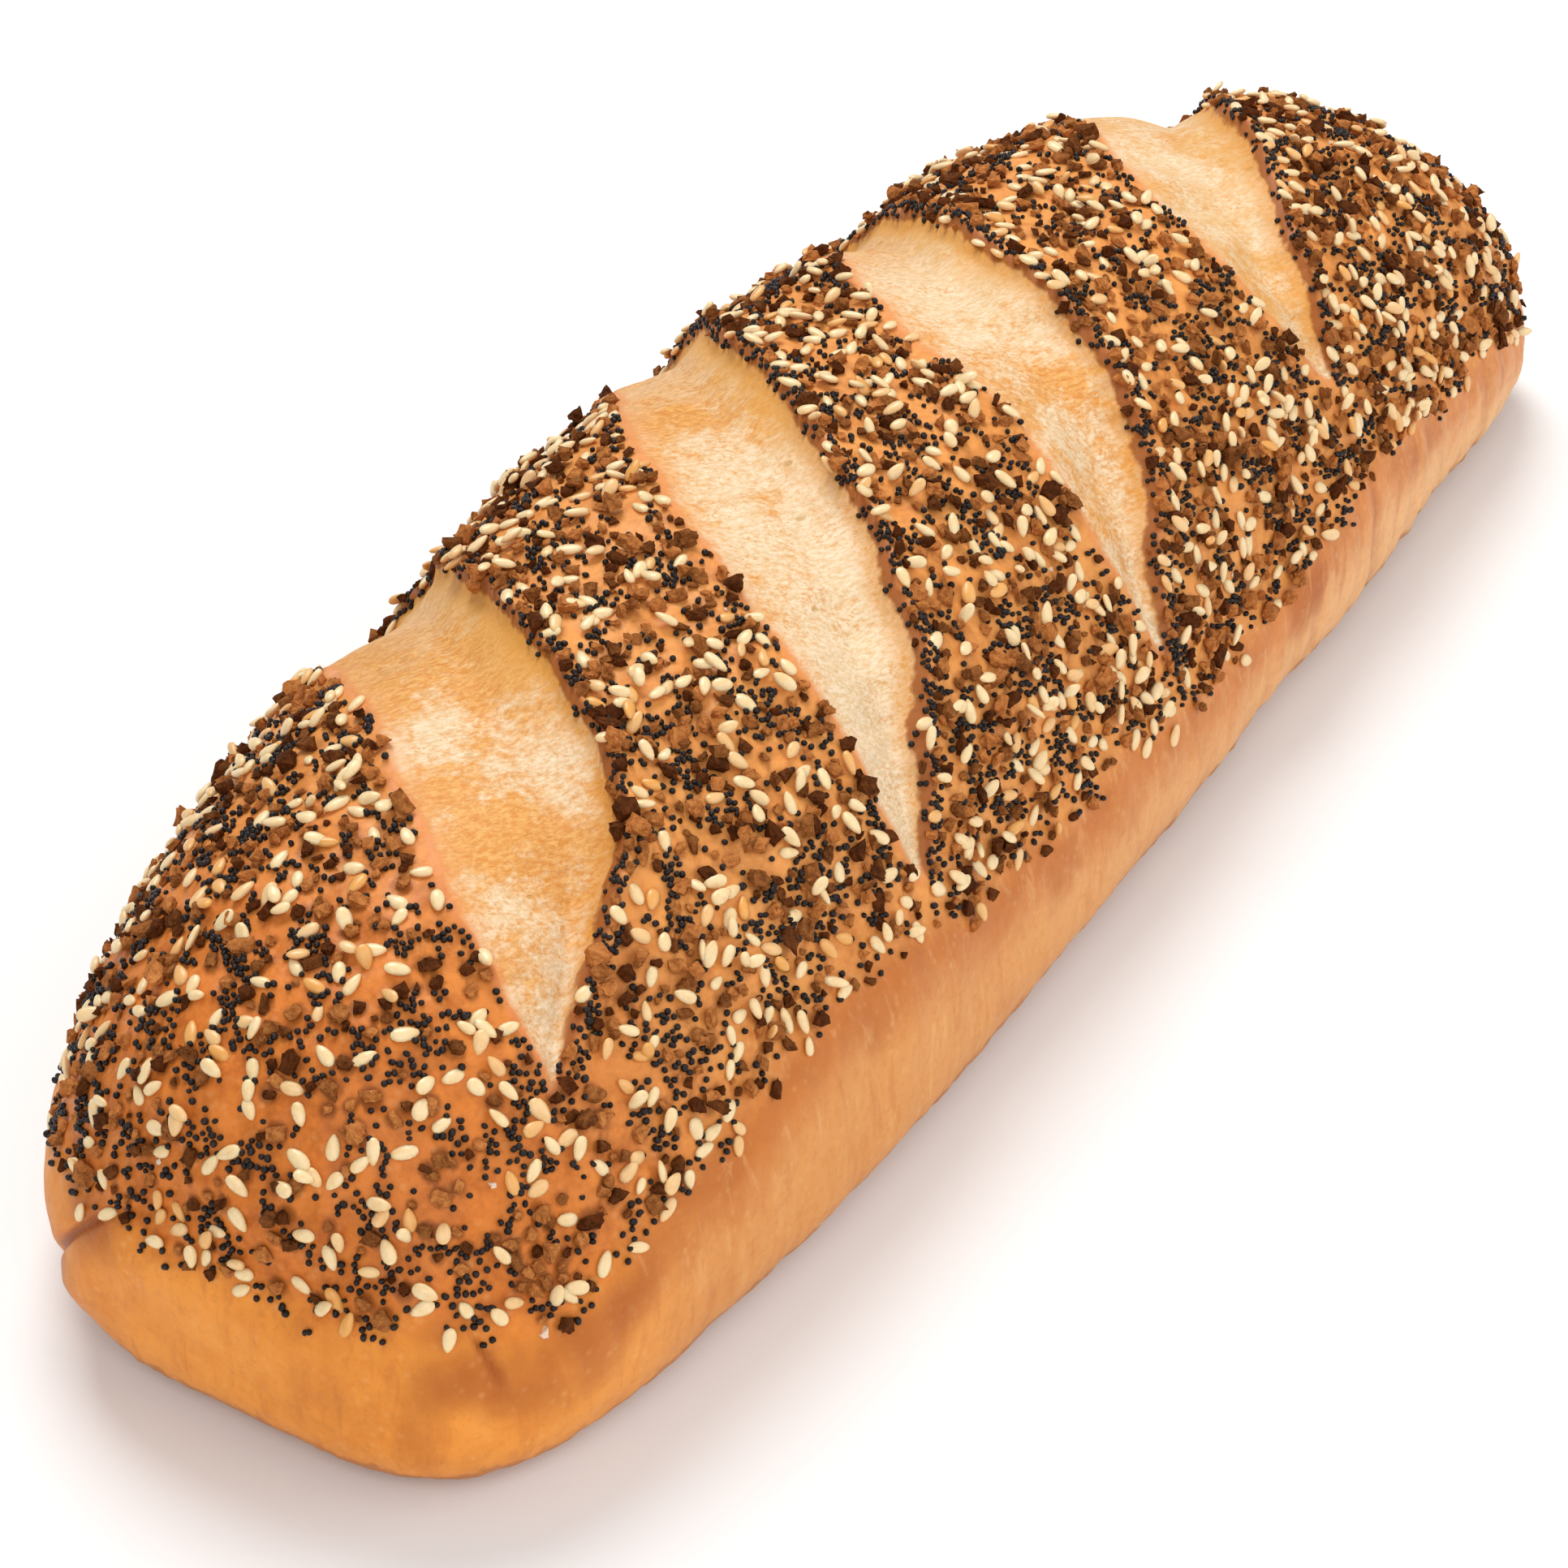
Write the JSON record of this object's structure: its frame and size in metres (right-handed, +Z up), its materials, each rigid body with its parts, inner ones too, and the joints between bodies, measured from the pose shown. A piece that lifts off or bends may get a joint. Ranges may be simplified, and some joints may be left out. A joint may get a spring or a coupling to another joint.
{
  "type": "bread loaf",
  "caption": "Long seeded bread loaf with a domed top, slanting slashes across it, plain sides and a flat base to rest on.",
  "frame": {"origin": "middle of the flat base", "axes": "+X along the loaf, towards its far end; +Y across it; +Z up from the base"},
  "size_m": [0.334, 0.1172, 0.0721],
  "materials": {
    "crust": "satin baked crust, golden brown on top and paler on the sides, cream in the slashes",
    "sesame": "satin ivory seeds, some toasted golden",
    "poppy": "matt blue-black seeds",
    "toasted_crumb": "matt brown flakes",
    "salt": "pale translucent grains"
  },
  "bodies": {
    "root": {"loaf": "crust"}
  },
  "joints": []
}
